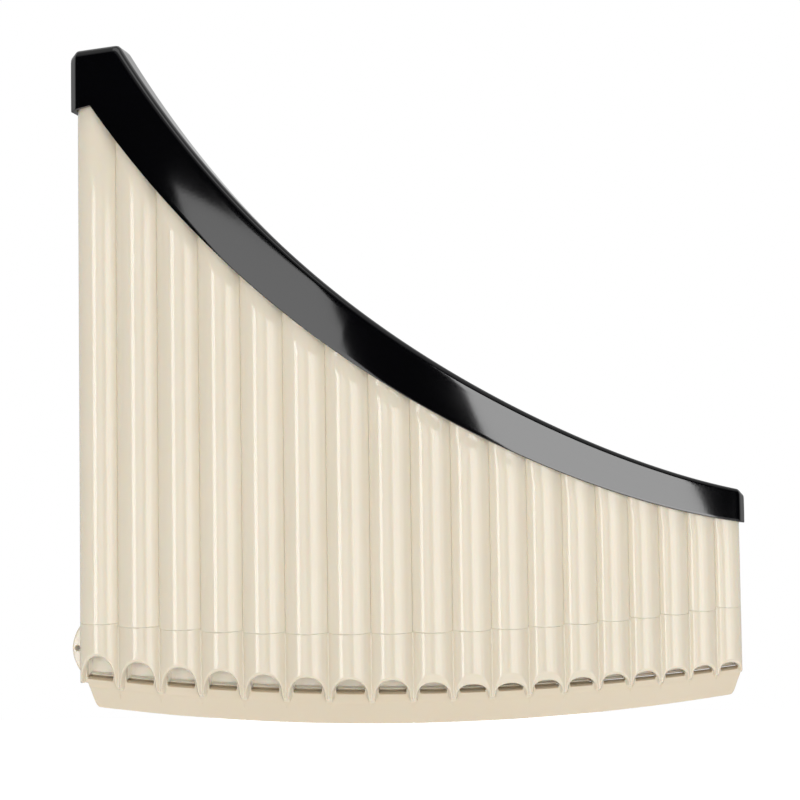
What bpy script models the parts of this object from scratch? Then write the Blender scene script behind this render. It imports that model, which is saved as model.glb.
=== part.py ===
"""Pan flute of eighteen moulded pipes.

The mouth edge is down, the closed ends up, the windows face -Y and the longest pipe is at -X.
"""

import math

import bmesh
import bpy
import numpy as np

MM = 0.001

# Row of pipes. S is the distance along the row's arc, 0 in its middle, D the distance forward of the arc.
PIPE_COUNT = 18
ROW_START = -134.4 * MM
FIRST_PIPE = 16.45 * MM
WIDE_PIPE = 17.04 * MM
WIDE_PIPES = 7
WIDTH_STEP = 0.56 * MM
PLAN_RADIUS = 650 * MM
SIDE_GAP = 0.5 * MM
END_GAP = 0.3 * MM

# Cross-section of a pipe, as shares of its width: front rib, flat sides, back rib.
FRONT_SHARE = 0.3
SIDE_SHARE = 0.22
BACK_SHARE = 0.26
PIPE_WALL = 1.5 * MM
FRONT_STEPS = 12
BACK_STEPS = 8

# How far the cutters reach past what they cut.
CUT_MARGIN = 9 * MM
CUT_DEPTH = 40 * MM
BELOW_ALL = -20 * MM
ABOVE_HEADS = 80 * MM
MOUTHPIECE_BLANK = 60 * MM

# Notes of the G major scale from G4: semitones up from the lowest pipe, and the speed of sound.
LOWEST_NOTE = 392.0
SCALE = (0, 2, 4, 5, 7, 9, 11)
SOUND_SPEED = 345.0
PLUG_LENGTH = 7 * MM
PLUG_CHAMFER = 0.8 * MM
PLUG_CLEARANCE = 0.3 * MM

# Mouthpiece: each line across it is an arc seen from the front, given by its lowest point and radius.
LIP_LINE = (-5 * MM, 0.0 * MM, 1100 * MM)
SLIT_LINE = (-1 * MM, 12.8 * MM, 1300 * MM)
SEAM_LINE = (-15 * MM, 36.4 * MM, 1350 * MM)
TIP_SHARE = 0.255
CUT_UP_LEAST = 0.55 * MM
CUT_UP_SHARE = 0.037
RIM_RISE = 1.0 * MM
WINDOW_SHARE = 0.64
HEAD_BORE_SHARE = 0.67
HEAD_WALL = 1.2 * MM
LIP_THICKNESS = 1.8 * MM
LIP_FACE = 0.2 * MM
RECESS_FACE = 0.25 * MM
STAIR_SHIFT = 0.06 * MM
WINDWAY_HEIGHT = 1.0 * MM
BEAK_THICKNESS = 5.0 * MM
END_STEP_RISE = 9.0 * MM
END_SLANT = 3.1 * MM
LEFT_INSET = 2.9 * MM
RIGHT_INSET = 0.3 * MM
END_CORNER = 1.2 * MM
PLATE_HEEL = 1.5 * MM
SCOOP_REACH = 1.5
BORE_OVERLAP = 0.4 * MM

# Cord lug on the left end of the mouthpiece.
LUG_REACH = 3.9 * MM
LUG_HEIGHT = 18 * MM
LUG_MIDDLE = 31 * MM
LUG_ROOT = 2.2 * MM
LUG_FULLNESS = 0.8
LUG_STEPS = 8
LUG_THICKNESS = 6.0 * MM
LUG_DEPTH = -3.7 * MM
LUG_HOLE = 2.2 * MM
LUG_HOLE_INSET = 2.2 * MM
LUG_HOLE_STEPS = 14

# End rail: both edges fall along the row as quartics in S per 100 mm, constant term first.
CURVE_UNIT = 100 * MM
RAIL_LOWER_CURVE = (129.0, -61.1, 19.0, -4.0, 1.9)
RAIL_UPPER_CURVE = (150.6, -69.1, 22.8, -6.7, 2.5)
RAIL_FOOT = -127.0 * MM
RAIL_CORNER = -115.2 * MM
RAIL_LEFT_TOP = 273.4 * MM
RAIL_OVERHANG = 1.3 * MM
RAIL_WALL = 1.5 * MM
RAIL_CLEARANCE = 0.3 * MM
RAIL_CROWN_SHARE = 0.13
RAIL_CROWN_SLOPE = 0.8
RAIL_CHANNEL_DROP = 10 * MM
RAIL_STATIONS = 36
PIPE_COVER_SHARE = 0.45

IVORY = (0.78, 0.70, 0.58, 1.0)
IVORY_DARK = (0.70, 0.62, 0.50, 1.0)
BLACK = (0.012, 0.012, 0.014, 1.0)
CORK = (0.45, 0.32, 0.20, 1.0)


def clear_scene():
    for obj in list(bpy.data.objects):
        bpy.data.objects.remove(obj, do_unlink=True)


def material(name, colour, roughness):
    made = bpy.data.materials.new(name)
    made.use_nodes = True
    shader = made.node_tree.nodes["Principled BSDF"]
    shader.inputs["Base Color"].default_value = colour
    shader.inputs["Roughness"].default_value = roughness
    shader.inputs["Metallic"].default_value = 0.0
    return made


# ---- the row -------------------------------------------------------------------------------------


def pipe_widths():
    narrowing = [max(0, i - WIDE_PIPES + 1) for i in range(1, PIPE_COUNT)]
    return [FIRST_PIPE] + [WIDE_PIPE - WIDTH_STEP * n for n in narrowing]


WIDTHS = pipe_widths()
EDGES = [ROW_START + sum(WIDTHS[:i]) for i in range(PIPE_COUNT + 1)]
MIDDLES = [(EDGES[i] + EDGES[i + 1]) / 2 for i in range(PIPE_COUNT)]


def width_at(s):
    """The pipe width at a place along the row, blended from pipe to pipe."""
    return float(np.interp(s, MIDDLES, WIDTHS))


def bent(s, d, z):
    """A place along the row, forward of it and above the mouth edge, as a point in space."""
    angle = s / PLAN_RADIUS
    radius = PLAN_RADIUS + d
    return (radius * math.sin(angle), PLAN_RADIUS - radius * math.cos(angle), z)


def arc_height(line, s):
    lowest_at, lowest, radius = line
    return lowest + (s - lowest_at) ** 2 / (2 * radius)


def acoustic_length(i):
    """A quarter of the note's wavelength: the air column of a pipe stopped at one end."""
    semitones = 12 * (i // len(SCALE)) + SCALE[i % len(SCALE)]
    return SOUND_SPEED / (LOWEST_NOTE * 2 ** (semitones / 12)) / 4


def cut_up(i):
    return CUT_UP_LEAST + CUT_UP_SHARE * acoustic_length(i)


def slit_height(s):
    return arc_height(SLIT_LINE, s)


def tip_height(s):
    """Where the legs between the windows run out on the lip plate."""
    return slit_height(s) - TIP_SHARE * width_at(s)


def rim_height(s):
    """The upper rim of the windows, blended from pipe to pipe."""
    rims = [slit_height(MIDDLES[i]) + cut_up(i) + RIM_RISE for i in range(PIPE_COUNT)]
    return float(np.interp(s, MIDDLES, rims))


def curve_height(curve, s):
    return sum(term * (s / CURVE_UNIT) ** power for power, term in enumerate(curve)) * MM


def rail_lower(s):
    return curve_height(RAIL_LOWER_CURVE, max(s, RAIL_FOOT))


def rail_upper(s):
    """The rail's upper edge: a short rise from its left end to the corner, then the falling curve."""
    if s >= RAIL_CORNER:
        return curve_height(RAIL_UPPER_CURVE, s)
    start = EDGES[0] - RAIL_OVERHANG
    t = (s - start) / (RAIL_CORNER - start)
    return RAIL_LEFT_TOP + t * (curve_height(RAIL_UPPER_CURVE, RAIL_CORNER) - RAIL_LEFT_TOP)


# ---- meshes --------------------------------------------------------------------------------------


def pipe_ring(half_width, front, side, back):
    """A pipe's section as (u, d) points, from +u over the front rib to -u and back along the rear."""
    points = []
    for k in range(FRONT_STEPS + 1):
        angle = math.pi * k / FRONT_STEPS
        points.append((half_width * math.cos(angle), front * math.sin(angle)))
    for k in range(BACK_STEPS + 1):
        angle = math.pi + math.pi * k / BACK_STEPS
        points.append((half_width * math.cos(angle), -side + back * math.sin(angle)))
    return points


def outer_ring(width, half_width):
    return pipe_ring(half_width, FRONT_SHARE * width, SIDE_SHARE * width, BACK_SHARE * width)


def inner_ring(width, half_width, wall):
    front = FRONT_SHARE * width - wall
    back = BACK_SHARE * width - wall
    return pipe_ring(half_width, front, SIDE_SHARE * width, back)


def loft(rings, closed_ends=True):
    """A bmesh through rings of equal length, with caps.

    Each ring runs counter-clockwise seen from the last one.
    """
    bm = bmesh.new()
    rows = [[bm.verts.new(p) for p in ring] for ring in rings]
    for low, high in zip(rows, rows[1:]):
        for k in range(len(low)):
            n = (k + 1) % len(low)
            bm.faces.new((low[k], low[n], high[n], high[k]))
    if closed_ends:
        bm.faces.new(list(reversed(rows[0])))
        bm.faces.new(rows[-1])
    return bm, rows


def tube(outer, inner):
    """A bmesh tube from two lists of rings, outer and inner, joined at both ends."""
    bm, outside = loft(outer, closed_ends=False)
    inside = [[bm.verts.new(p) for p in ring] for ring in inner]
    for low, high in zip(inside, inside[1:]):
        for k in range(len(low)):
            n = (k + 1) % len(low)
            bm.faces.new((low[n], low[k], high[k], high[n]))
    for end, flip in ((0, True), (-1, False)):
        for k in range(len(outside[end])):
            n = (k + 1) % len(outside[end])
            face = (outside[end][k], outside[end][n], inside[end][n], inside[end][k])
            bm.faces.new(tuple(reversed(face)) if flip else face)
    return bm


def object_from(bm, name, finish, parent=None):
    """A named object from a bmesh, its faces turned outwards and its round faces smooth."""
    bmesh.ops.recalc_face_normals(bm, faces=bm.faces)
    mesh = bpy.data.meshes.new(name)
    bm.to_mesh(mesh)
    bm.free()
    mesh.shade_smooth()
    mesh.set_sharp_from_angle(angle=math.radians(32))
    made = bpy.data.objects.new(name, mesh)
    if finish:
        mesh.materials.append(finish)
    made.parent = parent
    bpy.context.scene.collection.objects.link(made)
    return made


def cutter_from(bm, name):
    made = object_from(bm, name, None)
    made.hide_render = True
    made.display_type = "WIRE"
    return made


def prisms(outlines, place):
    """One bmesh holding a prism for each (outline, low, high); place(point, level) gives a point in space."""
    bm = bmesh.new()
    for outline, low, high in outlines:
        rows = [[bm.verts.new(place(p, level)) for p in outline] for level in (low, high)]
        for k in range(len(outline)):
            n = (k + 1) % len(outline)
            bm.faces.new((rows[0][k], rows[0][n], rows[1][n], rows[1][k]))
        bm.faces.new(list(reversed(rows[0])))
        bm.faces.new(rows[1])
    return bm


def upright(point, level):
    return (point[0], -point[1], level)


def across(point, level):
    """A prism through the thickness: the outline is (s, z) and the level is the depth."""
    return (point[0], -level, point[1])


def apply_cuts(target, steps):
    """Runs the Booleans on the flat object, then bends its vertices round the row's arc."""
    for operation, cutter in steps:
        modifier = target.modifiers.new(cutter.name, "BOOLEAN")
        modifier.operation = operation
        modifier.object = cutter
        modifier.solver = "EXACT"
    bpy.context.view_layer.update()
    evaluated = target.evaluated_get(bpy.context.evaluated_depsgraph_get())
    mesh = bpy.data.meshes.new_from_object(evaluated)
    target.modifiers.clear()
    target.data = mesh
    for _, cutter in steps:
        bpy.data.objects.remove(cutter, do_unlink=True)
    for vertex in mesh.vertices:
        vertex.co = bent(vertex.co.x, -vertex.co.y, vertex.co.z)


# ---- pieces --------------------------------------------------------------------------------------


def pipe_end_height(i, u):
    """The pipe's slanted top, part of the way up inside the rail."""
    edges = (EDGES[i], EDGES[i + 1])
    ends = [rail_lower(s) + PIPE_COVER_SHARE * (rail_upper(s) - rail_lower(s)) for s in edges]
    t = (u + WIDTHS[i] / 2) / WIDTHS[i]
    return ends[0] + t * (ends[1] - ends[0])


def place_on_row(obj, i):
    obj.location = bent(MIDDLES[i], 0.0, 0.0)
    obj.rotation_euler = (0.0, 0.0, MIDDLES[i] / PLAN_RADIUS)


def add_pipe(i, root):
    width = WIDTHS[i]
    bottom = arc_height(SEAM_LINE, MIDDLES[i]) + END_GAP
    half = (width - SIDE_GAP) / 2
    rings = []
    for section in (outer_ring(width, half), inner_ring(width, half - PIPE_WALL, PIPE_WALL)):
        low = [(u, -d, bottom) for u, d in section]
        high = [(u, -d, pipe_end_height(i, u)) for u, d in section]
        rings.append((low, high))
    finish = material(f"pipe_plastic_{i + 1:02d}", IVORY, 0.28)
    pipe = object_from(tube(*rings), f"pipe_{i + 1:02d}", finish, root)
    place_on_row(pipe, i)


def add_plug(i, root):
    width = WIDTHS[i]
    start = slit_height(MIDDLES[i]) + acoustic_length(i)
    half = (width - SIDE_GAP) / 2 - PIPE_WALL
    length = PLUG_LENGTH * width / WIDE_PIPE
    rings = []
    levels = (0.0, PLUG_CHAMFER, length - PLUG_CHAMFER, length)
    for inset, level in zip((PLUG_CHAMFER, 0.0, 0.0, PLUG_CHAMFER), levels):
        shrink = PLUG_CLEARANCE + inset
        section = inner_ring(width, half - shrink, PIPE_WALL + shrink)
        rings.append([(u, -d, start + level) for u, d in section])
    bm, _ = loft(rings)
    finish = material(f"plug_cork_{i + 1:02d}", CORK, 0.8)
    plug = object_from(bm, f"tuning_plug_{i + 1:02d}", finish, root)
    place_on_row(plug, i)


def ribbed_outline():
    """The mouthpiece's section as (s, d): every front rib from left to right, then every back rib."""
    front, back = [], []
    for i in range(PIPE_COUNT):
        for k in range(FRONT_STEPS):
            angle = math.pi * (1 - k / FRONT_STEPS)
            front.append(
                (MIDDLES[i] + WIDTHS[i] / 2 * math.cos(angle), FRONT_SHARE * WIDTHS[i] * math.sin(angle))
            )
        for k in range(BACK_STEPS):
            angle = math.pi * (1 - k / BACK_STEPS)
            side = SIDE_SHARE * (width_at(EDGES[i]) if k == 0 else WIDTHS[i])
            depth = side + BACK_SHARE * WIDTHS[i] * math.sin(angle)
            back.append((MIDDLES[i] + WIDTHS[i] / 2 * math.cos(angle), -depth))
    front.append((EDGES[-1], 0.0))
    back.append((EDGES[-1], -SIDE_SHARE * WIDTHS[-1]))
    return front + list(reversed(back))


def row_stations(margin):
    """Places along the row: each valley and each pipe's middle, carried past both ends."""
    places = sorted(EDGES + MIDDLES)
    places[0] -= margin
    places[-1] += margin
    return places


def long_cutter(name, section_at):
    """A cutter lofted along the row; section_at(s) gives its (d, z) outline."""
    rings = [[(s, -d, z) for d, z in section_at(s)] for s in row_stations(LUG_REACH)]
    bm, _ = loft(rings)
    return cutter_from(bm, name)


def scoop_section(s):
    """The slanting cut that opens the ribs into arches and leaves the legs between them."""
    rim, tip = rim_height(s), tip_height(s)
    crest = FRONT_SHARE * width_at(s) * SCOOP_REACH
    top = tip + SCOOP_REACH * (rim - tip)
    return [
        (LIP_FACE, tip),
        (LIP_FACE, BELOW_ALL),
        (CUT_DEPTH, BELOW_ALL),
        (CUT_DEPTH, top + END_GAP),
        (crest, top),
    ]


def pocket_section(s):
    """The room for the windway plate, behind the lip."""
    slit = slit_height(s)
    return [
        (-LIP_THICKNESS, BELOW_ALL),
        (-LIP_THICKNESS, slit),
        (-CUT_DEPTH, slit),
        (-CUT_DEPTH, BELOW_ALL),
    ]


def seam_stairs():
    """Everything above the seam, one level step for each pipe."""
    points = [(EDGES[0] - CUT_MARGIN, ABOVE_HEADS)]
    for i in range(PIPE_COUNT):
        level = arc_height(SEAM_LINE, MIDDLES[i])
        left = EDGES[i] + (-CUT_MARGIN if i == 0 else STAIR_SHIFT)
        right = EDGES[i + 1] + (CUT_MARGIN if i == PIPE_COUNT - 1 else STAIR_SHIFT)
        points += [(left, level), (right, level)]
    points.append((EDGES[-1] + CUT_MARGIN, ABOVE_HEADS))
    return cutter_from(prisms([(points, -CUT_DEPTH, CUT_DEPTH)], across), "seam_stairs")


def window_recesses():
    """The flat of the lip plate carried up between the legs, and the bore of each head."""
    recesses, bores = [], []
    for i in range(PIPE_COUNT):
        half = WINDOW_SHARE * WIDTHS[i] / 2
        left, right = MIDDLES[i] - half, MIDDLES[i] + half
        top = slit_height(MIDDLES[i]) + BORE_OVERLAP
        recess = [(left, RECESS_FACE), (right, RECESS_FACE), (right, CUT_DEPTH), (left, CUT_DEPTH)]
        recesses.append((recess, BELOW_ALL, top))
        section = inner_ring(WIDTHS[i], HEAD_BORE_SHARE * WIDTHS[i] / 2, HEAD_WALL)
        bore = [(MIDDLES[i] + u, d) for u, d in section]
        bores.append((bore, top - 2 * BORE_OVERLAP, ABOVE_HEADS))
    return (
        cutter_from(prisms(recesses, upright), "window_recesses"),
        cutter_from(prisms(bores, upright), "head_bores"),
    )


def lip_ends():
    """Trims both ends of the lip plate: a level step, a slant and a turned corner."""
    outlines = []
    for end, sign, inset in ((EDGES[0], 1, LEFT_INSET), (EDGES[-1], -1, RIGHT_INSET)):
        foot = arc_height(LIP_LINE, end)
        turn = inset + END_SLANT
        outline = [
            (end - sign * CUT_MARGIN, foot + END_STEP_RISE),
            (end + sign * inset, foot + END_STEP_RISE),
            (end + sign * turn, foot + END_CORNER),
            (end + sign * (turn + END_CORNER), foot),
            (end + sign * (turn + 2 * END_CORNER), BELOW_ALL),
            (end - sign * CUT_MARGIN, BELOW_ALL),
        ]
        outlines.append((outline, -CUT_DEPTH, CUT_DEPTH))
    return cutter_from(prisms(outlines, across), "lip_ends")


def lug_pieces():
    """The cord lug, a low bow on the left end, and the drill for its hole."""
    half = LUG_HEIGHT / 2
    bow = [(EDGES[0] + LUG_ROOT, LUG_MIDDLE - half)]
    for k in range(LUG_STEPS + 1):
        t = -1 + 2 * k / LUG_STEPS
        out = LUG_REACH * math.cos(t * math.pi / 2) ** LUG_FULLNESS
        bow.append((EDGES[0] - out, LUG_MIDDLE + t * half))
    bow.append((EDGES[0] + LUG_ROOT, LUG_MIDDLE + half))
    back, front = LUG_DEPTH - LUG_THICKNESS / 2, LUG_DEPTH + LUG_THICKNESS / 2
    lug = cutter_from(prisms([(bow, back, front)], across), "lug")
    middle = EDGES[0] - LUG_REACH + LUG_HOLE_INSET
    ring = []
    for k in range(LUG_HOLE_STEPS):
        angle = 2 * math.pi * k / LUG_HOLE_STEPS
        z = LUG_MIDDLE + LUG_HOLE / 2 * math.sin(angle)
        ring.append((middle + LUG_HOLE / 2 * math.cos(angle), z))
    drill = prisms([(ring, back - END_GAP, front + END_GAP)], across)
    return lug, cutter_from(drill, "lug_drill")


def add_mouthpiece_body(root):
    outline = ribbed_outline()
    rings = [
        [(s, -d, arc_height(LIP_LINE, s)) for s, d in outline],
        [(s, -d, MOUTHPIECE_BLANK) for s, d in outline],
    ]
    bm, _ = loft(rings)
    body = object_from(bm, "mouthpiece_body", material("mouthpiece_plastic", IVORY_DARK, 0.3), root)
    lug, drill = lug_pieces()
    recesses, bores = window_recesses()
    steps = [
        ("DIFFERENCE", seam_stairs()),
        ("DIFFERENCE", long_cutter("windway_pocket", pocket_section)),
        ("DIFFERENCE", long_cutter("rib_scoop", scoop_section)),
        ("DIFFERENCE", recesses),
        ("DIFFERENCE", bores),
        ("DIFFERENCE", lip_ends()),
        ("UNION", lug),
        ("DIFFERENCE", drill),
    ]
    apply_cuts(body, steps)


def lip_outline(s):
    """The mouth edge, carried up the slant at both ends of the lip."""
    on_left = s < 0
    end = EDGES[0] if on_left else EDGES[-1]
    inward = abs(s - end) - (LEFT_INSET if on_left else RIGHT_INSET)
    step = arc_height(LIP_LINE, end) + END_STEP_RISE
    slant = step - inward * (END_STEP_RISE - END_CORNER) / END_SLANT
    return max(arc_height(LIP_LINE, s), min(slant, step))


def plate_section(s):
    """The windway plate's section: flat behind the lip, sloping back up to the depth of the pipes."""
    front = -LIP_THICKNESS - END_GAP
    top = slit_height(s) - END_GAP
    back = -(SIDE_SHARE + BACK_SHARE) * width_at(s)
    low = lip_outline(s)
    heel = top - PLATE_HEEL
    return [
        (front, low),
        (front, top),
        (back, top),
        (back, max(heel, low)),
        (-BEAK_THICKNESS, low),
    ]


def add_windway_plate(root):
    left, right = EDGES[0] + LEFT_INSET, EDGES[-1] - RIGHT_INSET
    places = [left, left + END_SLANT]
    places += [s for s in row_stations(0.0) if left + END_SLANT < s < right - END_SLANT]
    places += [right - END_SLANT, right]
    bm, _ = loft([[(s, -d, z) for d, z in plate_section(s)] for s in places])
    plate = object_from(bm, "windway_plate", material("windway_plastic", IVORY_DARK, 0.35), root)
    grooves = []
    for i in range(PIPE_COUNT):
        half = WINDOW_SHARE * WIDTHS[i] / 2
        left, right = MIDDLES[i] - half, MIDDLES[i] + half
        back = -LIP_THICKNESS - END_GAP - WINDWAY_HEIGHT
        groove = [(left, back), (right, back), (right, 0.0), (left, 0.0)]
        grooves.append((groove, BELOW_ALL, MOUTHPIECE_BLANK))
    apply_cuts(plate, [("DIFFERENCE", cutter_from(prisms(grooves, upright), "windways"))])


def rail_section(s, wall):
    """The rail's section as (d, z), inset by the wall: front and back walls, crowned top."""
    width = width_at(s)
    clearance = RAIL_WALL + RAIL_CLEARANCE - wall
    front = FRONT_SHARE * width + clearance
    back = -(SIDE_SHARE + BACK_SHARE) * width - clearance
    low = rail_lower(s)
    top = rail_upper(s) - wall
    crown = RAIL_CROWN_SHARE * (rail_upper(s) - low)
    inward = crown * RAIL_CROWN_SLOPE
    return [
        (front, low),
        (front, top - crown),
        (front - inward, top),
        (back + inward, top),
        (back, top - crown),
        (back, low),
    ]


def rail_places():
    start = EDGES[0] - RAIL_OVERHANG
    step = (EDGES[-1] + RAIL_OVERHANG - RAIL_CORNER) / RAIL_STATIONS
    spread = [RAIL_CORNER + step * k for k in range(RAIL_STATIONS + 1)]
    return [start, start + RAIL_WALL, RAIL_FOOT] + spread


def add_end_rail(root):
    places = rail_places()
    outer = [[(s, -d, z) for d, z in rail_section(s, 0.0)] for s in places]
    bm, _ = loft(outer)
    rail = object_from(bm, "end_rail", material("rail_plastic", BLACK, 0.12), root)
    hollow = [s for s in places if places[0] + RAIL_WALL / 2 < s < places[-1] - RAIL_WALL / 2]
    hollow[0] = places[0] + RAIL_WALL
    hollow.append(places[-1] - RAIL_WALL)
    inner = []
    for s in hollow:
        section = rail_section(s, RAIL_WALL)
        section[0] = (section[0][0], section[0][1] - RAIL_CHANNEL_DROP)
        section[-1] = (section[-1][0], section[-1][1] - RAIL_CHANNEL_DROP)
        inner.append([(s, -d, z) for d, z in section])
    core, _ = loft(inner)
    apply_cuts(rail, [("DIFFERENCE", cutter_from(core, "rail_channel"))])


def centre_on_origin(root):
    """Puts the middle of the flute's box over the origin, its lowest point on the ground."""
    bpy.context.view_layer.update()
    corners = np.array([obj.matrix_world @ v.co for obj in root.children for v in obj.data.vertices])
    low, high = corners.min(axis=0), corners.max(axis=0)
    root.location = (-(low[0] + high[0]) / 2, -(low[1] + high[1]) / 2, -low[2])


def main():
    clear_scene()
    root = bpy.data.objects.new("pan_flute", None)
    bpy.context.scene.collection.objects.link(root)
    for i in range(PIPE_COUNT):
        add_pipe(i, root)
        add_plug(i, root)
    add_mouthpiece_body(root)
    add_windway_plate(root)
    add_end_rail(root)
    centre_on_origin(root)


main()
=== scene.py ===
"""Looks of the pan flute: fine surfaces, moulded plastics, studio light and camera.

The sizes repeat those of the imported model, and the pieces stand where its nodes stand.
"""

import math

import bpy
import numpy as np
from mathutils import Matrix, Vector


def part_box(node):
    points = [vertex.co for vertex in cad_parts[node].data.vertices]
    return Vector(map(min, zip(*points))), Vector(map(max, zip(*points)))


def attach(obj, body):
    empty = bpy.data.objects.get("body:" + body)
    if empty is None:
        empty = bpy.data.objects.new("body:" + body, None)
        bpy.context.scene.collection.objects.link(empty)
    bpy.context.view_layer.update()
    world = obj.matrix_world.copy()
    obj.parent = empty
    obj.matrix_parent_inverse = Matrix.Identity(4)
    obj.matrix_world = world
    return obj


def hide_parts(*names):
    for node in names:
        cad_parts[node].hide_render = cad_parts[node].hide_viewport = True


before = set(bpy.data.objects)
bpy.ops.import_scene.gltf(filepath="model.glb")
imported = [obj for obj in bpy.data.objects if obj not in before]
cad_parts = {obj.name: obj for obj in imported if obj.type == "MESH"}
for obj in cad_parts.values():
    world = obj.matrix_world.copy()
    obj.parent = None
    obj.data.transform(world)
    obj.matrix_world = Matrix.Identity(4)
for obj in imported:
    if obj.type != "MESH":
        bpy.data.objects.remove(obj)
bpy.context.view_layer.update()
MM = 0.001

# All design sizes are in millimetres. S runs along the row of pipes, D forward of its arc, Z up.
PIPE_COUNT = 18
ROW_START = -134.4
FIRST_PIPE = 16.45
WIDE_PIPE = 17.04
WIDE_PIPES = 7
WIDTH_STEP = 0.56
PLAN_RADIUS = 650.0
END_GAP = 0.3
SHOWN_GAP = 0.03
FRONT_SHARE = 0.3
SIDE_SHARE = 0.22
BACK_SHARE = 0.26
PIPE_WALL = 1.5

LOWEST_NOTE = 392.0
SCALE = (0, 2, 4, 5, 7, 9, 11)
SOUND_SPEED = 345000.0

LIP_LINE = (-5.0, 0.0, 1100.0)
SLIT_LINE = (-1.0, 12.8, 1300.0)
SEAM_LINE = (-15.0, 36.4, 1350.0)
TIP_SHARE = 0.265
SPRING_SHARE = 0.14
LEG_SHARE = 0.12
ARCH_DRAFT = 0.35
LEG_TAPER = 0.4
RUN_OUT = 1.8
CUT_UP_LEAST = 0.55
CUT_UP_SHARE = 0.037
RIM_RISE = 1.0
DEEP_RIM_RISE = 2.5
SEAM_BOW = 0.8
WINDOW_SHARE = 0.64
HEAD_BORE_SHARE = 0.67
HEAD_BACK_SHARE = 0.354
HEAD_WALL = 1.2
EDGE_WALL = 0.25
DEEP_WALL = 0.8
LIP_THICKNESS = 1.8
LIP_FACE = 0.2
LIP_TILT = 0.09
LIP_BEVEL = 1.25
LIP_EDGE = 0.15
WINDWAY_HEIGHT = 1.0
BEAK_THICKNESS = 5.0
PLATE_HEEL = 1.5
SLOT_RISE = 0.3
SLOT_DEPTH = 1.3
FLOOR_RISE = 0.7
FLOOR_SLOPE = 0.32
FLOOR_GAP = 0.1
FLOOR_ROOT = 2.0
END_STEP_RISE = 9.0
END_SLANT = 3.1
END_INSETS = (2.9, 0.3)
END_CORNER = 0.5
END_WALL = 2.3
PLATE_INSET = 0.7

# Windows whose opening stops well below the rim: pipe number and the share of its cut-up left open.
LOW_LABIUMS = {9: 0.85, 10: 0.62, 11: 0.6, 12: 0.8, 13: 0.88}

LUG_REACH = 3.9
LUG_HEIGHT = 19.4
LUG_MIDDLE = 30.4
LUG_THICKNESS = 6.0
LUG_DEPTH = -3.7
LUG_HOLE = 2.2
LUG_HOLE_INSET = 2.2

# Both edges of the rail fall along the row as quartics in S per 100 mm, constant term first.
CURVE_UNIT = 100.0
RAIL_LOWER_CURVE = (129.0, -61.1, 19.0, -4.0, 1.9)
RAIL_UPPER_CURVE = (150.6, -69.1, 22.8, -6.7, 2.5)
RAIL_FOOT = -127.0
RAIL_CORNER = -115.2
RAIL_LEFT_TOP = 273.4
RAIL_LEFT_LOW = 248.6
RAIL_OVERHANG = 1.3
RAIL_WALL = 1.5
RAIL_CLEARANCE = 0.3
RAIL_CROWN_SHARE = 0.13
PIPE_COVER_SHARE = 0.45


# ---- the row -------------------------------------------------------------------------------------

WIDTHS = WIDE_PIPE - WIDTH_STEP * np.clip(np.arange(PIPE_COUNT) - WIDE_PIPES + 1, 0, None)
WIDTHS[0] = FIRST_PIPE
EDGES = ROW_START + np.concatenate([[0.0], np.cumsum(WIDTHS)])
MIDDLES = (EDGES[:-1] + EDGES[1:]) / 2


def arc_height(line, s):
    lowest_at, lowest, radius = line
    return lowest + (s - lowest_at) ** 2 / (2 * radius)


def slit_height(s):
    return arc_height(SLIT_LINE, s)


def acoustic_lengths():
    """A quarter of each note's wavelength: the air column of a pipe stopped at one end."""
    semitones = [12 * (i // len(SCALE)) + SCALE[i % len(SCALE)] for i in range(PIPE_COUNT)]
    return SOUND_SPEED / (LOWEST_NOTE * 2 ** (np.array(semitones) / 12)) / 4


CUT_UPS = CUT_UP_LEAST + CUT_UP_SHARE * acoustic_lengths()
LABIUM_SHARES = np.array([LOW_LABIUMS.get(i + 1, 1.0) for i in range(PIPE_COUNT)])
RIMS = slit_height(MIDDLES) + CUT_UPS + np.where(LABIUM_SHARES < 1, DEEP_RIM_RISE, RIM_RISE)
SEAMS = arc_height(SEAM_LINE, MIDDLES)


def width_at(s):
    return np.interp(s, MIDDLES, WIDTHS)


def bent(s, d, z):
    """Points in space, in millimetres, of places along, forward of and above the row's arc."""
    s, d, z = np.broadcast_arrays(s, d, z)
    angle = s / PLAN_RADIUS
    radius = PLAN_RADIUS + d
    return np.stack([radius * np.sin(angle), PLAN_RADIUS - radius * np.cos(angle), z], axis=-1)


def bent_normals(s, along, forward, up):
    """Turns normals given along, forward of and above the arc into directions in space."""
    angle = s / PLAN_RADIUS
    x = along * np.cos(angle) + forward * np.sin(angle)
    y = along * np.sin(angle) - forward * np.cos(angle)
    normals = np.stack([x, y, up], axis=-1)
    return normals / np.linalg.norm(normals, axis=-1, keepdims=True)


RAIL_START = EDGES[0] - RAIL_OVERHANG
RAIL_END = EDGES[-1] + RAIL_OVERHANG


def curve_height(curve, s):
    return sum(term * (s / CURVE_UNIT) ** power for power, term in enumerate(curve))


def rail_lower(s):
    return curve_height(RAIL_LOWER_CURVE, np.maximum(s, RAIL_FOOT))


def rail_upper(s):
    return curve_height(RAIL_UPPER_CURVE, np.maximum(s, RAIL_CORNER))


def rail_front(s):
    return FRONT_SHARE * width_at(s) + RAIL_WALL + RAIL_CLEARANCE


def rail_back(s):
    return -(SIDE_SHARE + BACK_SHARE) * width_at(s) - RAIL_WALL - RAIL_CLEARANCE


def shift_to_frame():
    """From the design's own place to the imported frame, in millimetres."""
    places = np.linspace(RAIL_START, RAIL_END, 400)
    low = bent(places, rail_front(places), 0.0).min(axis=0)
    rail_low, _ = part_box("end_rail")
    pipe_low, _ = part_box("pipe_01")
    lowest = pipe_low.z / MM - (SEAMS[0] + END_GAP)
    return np.array([rail_low.x / MM - low[0], rail_low.y / MM - low[1], lowest])


SHIFT = shift_to_frame()


def in_frame(points):
    return (points + SHIFT) * MM


# ---- meshes --------------------------------------------------------------------------------------


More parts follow.
